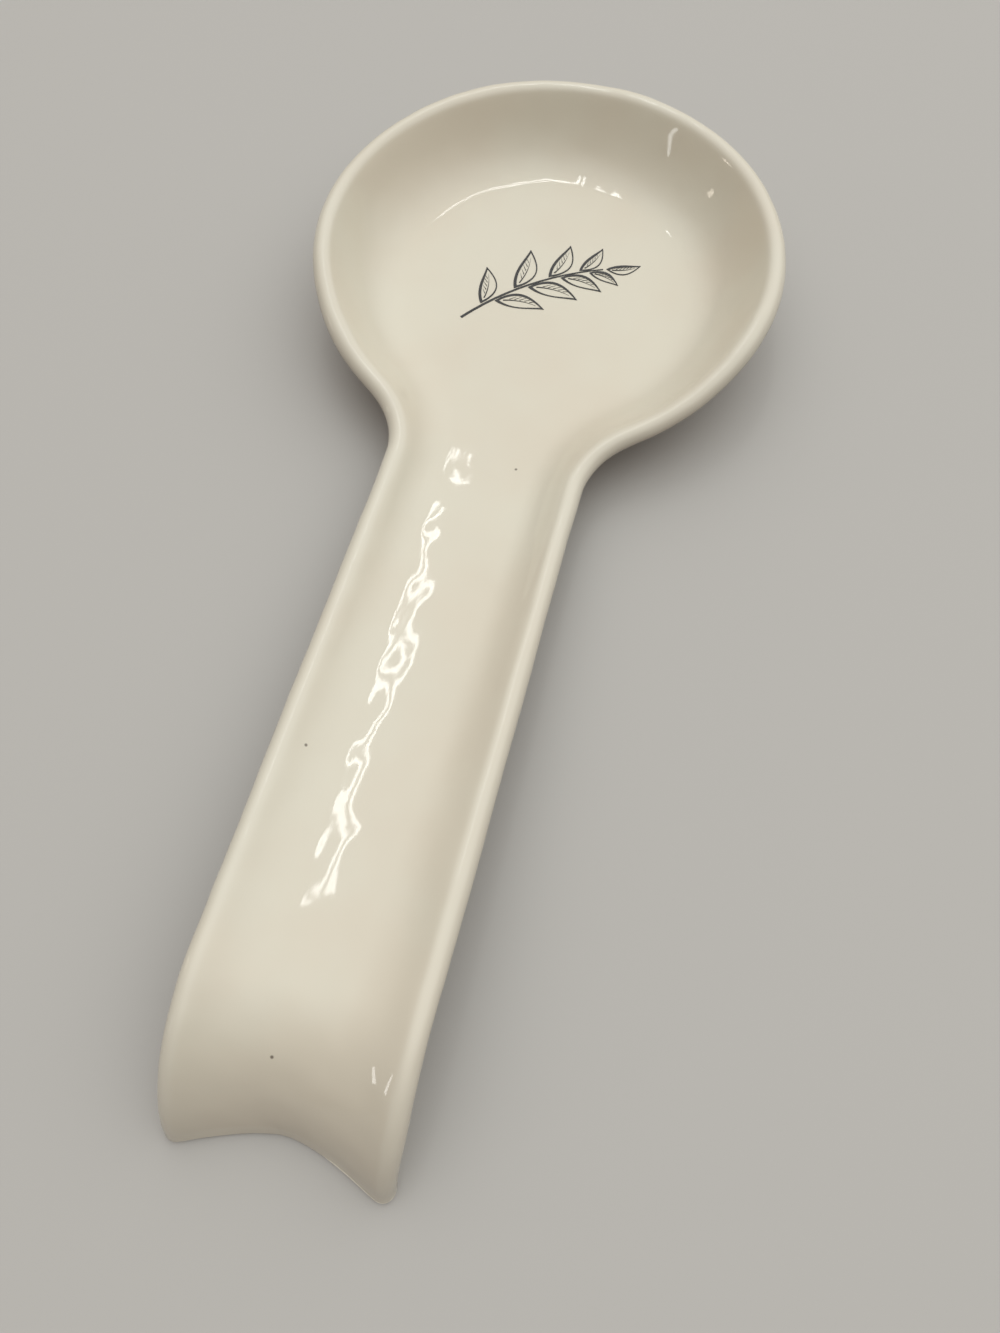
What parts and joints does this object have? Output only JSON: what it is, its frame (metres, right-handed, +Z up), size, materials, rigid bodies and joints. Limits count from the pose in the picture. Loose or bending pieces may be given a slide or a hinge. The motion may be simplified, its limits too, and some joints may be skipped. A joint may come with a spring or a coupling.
{
  "type": "spoon rest",
  "caption": "Glazed stoneware spoon rest: round bowl, trough handle and an end that rolls down to the table, with a line print of a leafy sprig in the bowl.",
  "frame": {"origin": "on the table, under the middle of the part's length and width", "axes": "+Z up from the table, +Y along the length from the handle towards the bowl, X across"},
  "size_m": [0.1142, 0.2656, 0.024],
  "materials": {
    "clay": "matt bare stoneware",
    "glaze": "glossy cream glaze",
    "print": "fired charcoal line print"
  },
  "bodies": {
    "root": {"clay_body": "clay", "glaze_coat": "glaze", "foot_well_glaze": "glaze", "sprig_print": "print"}
  },
  "joints": []
}
